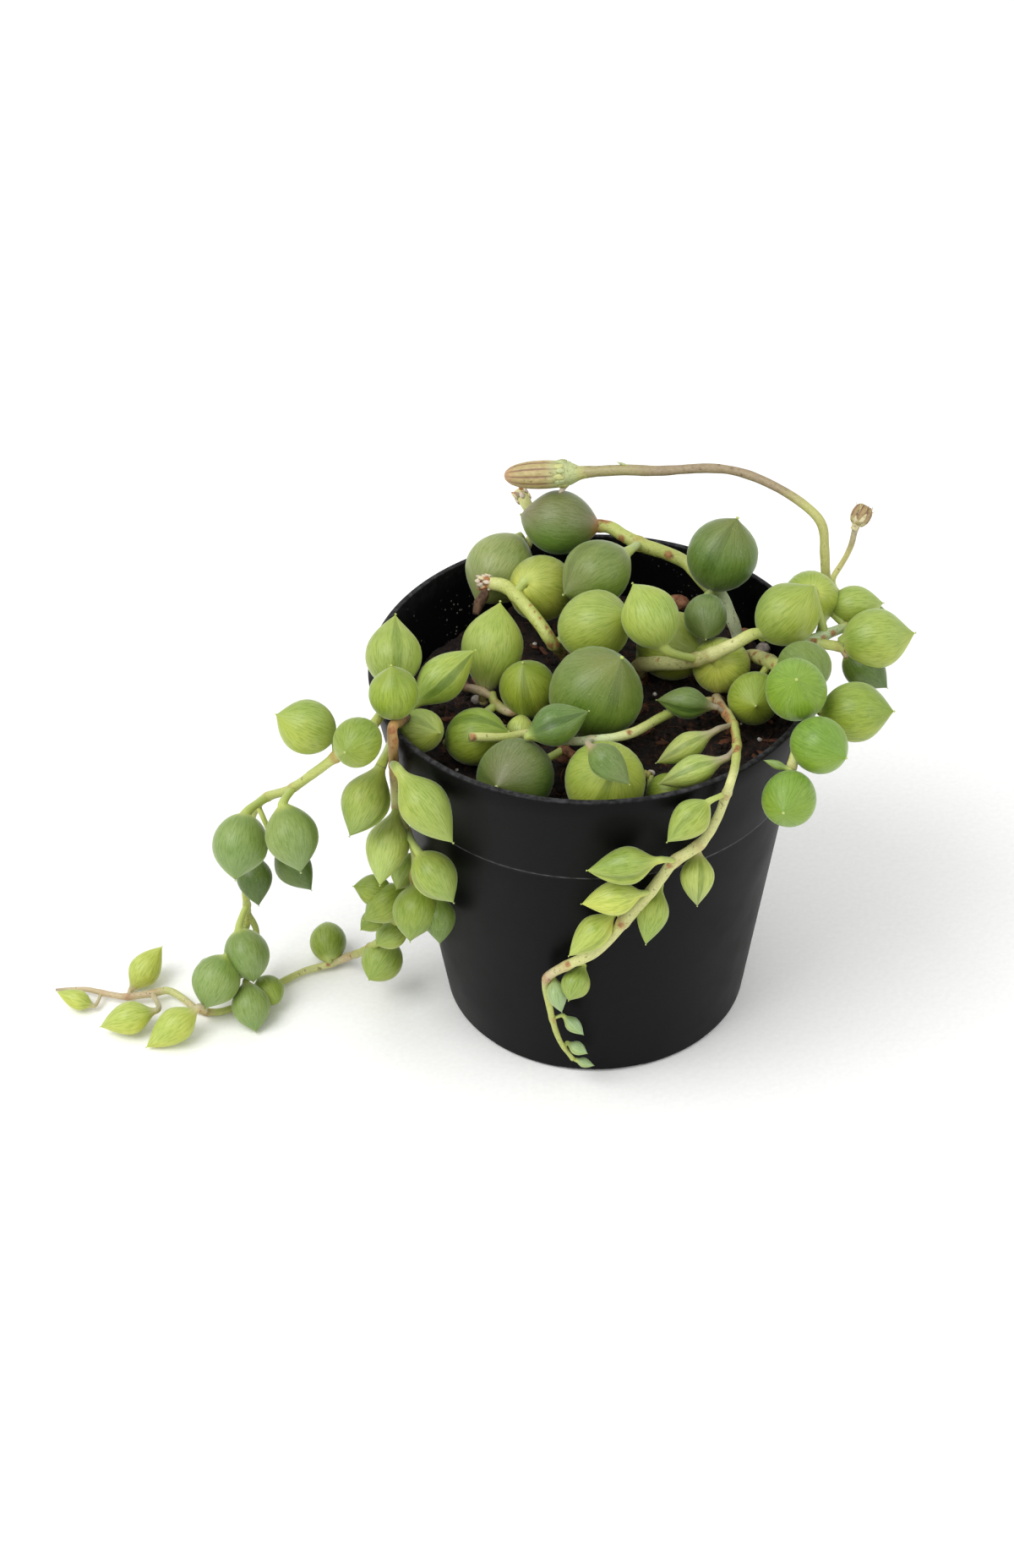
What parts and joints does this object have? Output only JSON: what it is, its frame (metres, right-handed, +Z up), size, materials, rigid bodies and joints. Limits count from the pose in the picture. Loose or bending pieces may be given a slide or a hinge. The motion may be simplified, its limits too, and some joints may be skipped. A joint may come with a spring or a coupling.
{
  "type": "potted string of raindrops",
  "caption": "Round tapered nursery pot of soil with trailing succulent stems of drop-shaped leaves and a long-stalked flower bud.",
  "frame": {"origin": "centre of the pot's base, on the surface that it stands on", "axes": "+Z up along the pot's axis, -Y to the side with the front strand, +X to the side with the raised flower buds' root"},
  "size_m": [0.1805, 0.0971, 0.1081],
  "materials": {
    "black_plastic": "matte black moulded plastic",
    "peat_soil": "dark damp peat with fibres",
    "leaf_green": "satin succulent skin",
    "pale_green": "satin green stalk",
    "stalk_brown": "satin grey-brown stalk",
    "bud_brown": "dull striped bud",
    "pumice": "rough porous stone",
    "grey_stone": "rough grey grit",
    "bark_brown": "rough bark",
    "perlite": "rough white grain"
  },
  "bodies": {
    "root": {"pot": "black_plastic", "soil": "peat_soil", "strand_back": "leaf_green", "strand_back_left": "leaf_green", "strand_middle": "leaf_green", "strand_front": "leaf_green", "strand_right": "leaf_green", "strand_right_low": "leaf_green", "strand_left_long": "leaf_green", "strand_left_short": "leaf_green", "flower_stalk": "stalk_brown", "flower_bud": "bud_brown", "bud_stalk": "pale_green", "small_bud": "bud_brown", "pumice_large": "pumice", "pumice_small": "pumice", "stone_grey": "grey_stone", "stone_left": "grey_stone", "bark_front": "bark_brown", "perlite_front": "perlite"}
  },
  "joints": []
}
